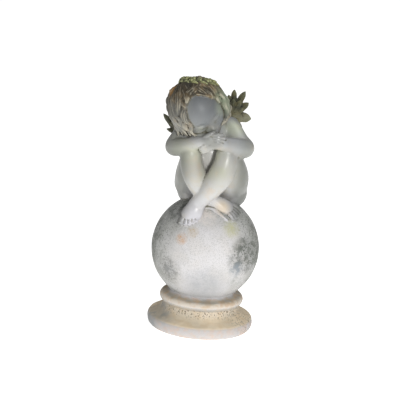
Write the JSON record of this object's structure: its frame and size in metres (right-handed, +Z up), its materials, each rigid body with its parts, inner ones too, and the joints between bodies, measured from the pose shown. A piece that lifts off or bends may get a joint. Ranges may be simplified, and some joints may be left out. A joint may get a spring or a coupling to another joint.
{
  "type": "garden putto statue",
  "caption": "Cast-stone garden statue of a winged child asleep on folded arms, seated on a ball with a turned round foot.",
  "frame": {"origin": "centre of the flat underside of the turned foot", "axes": "+Z up through the ball; -Y is the front, towards the knees; +X is the child's left"},
  "size_m": [0.209, 0.209, 0.5078],
  "materials": {
    "cast_stone": "fine cast stone, sealed and slightly glossy on the child, matt and pitted on the ball and foot, weathered"
  },
  "bodies": {
    "root": {"putto_statue": "cast_stone"}
  },
  "joints": []
}
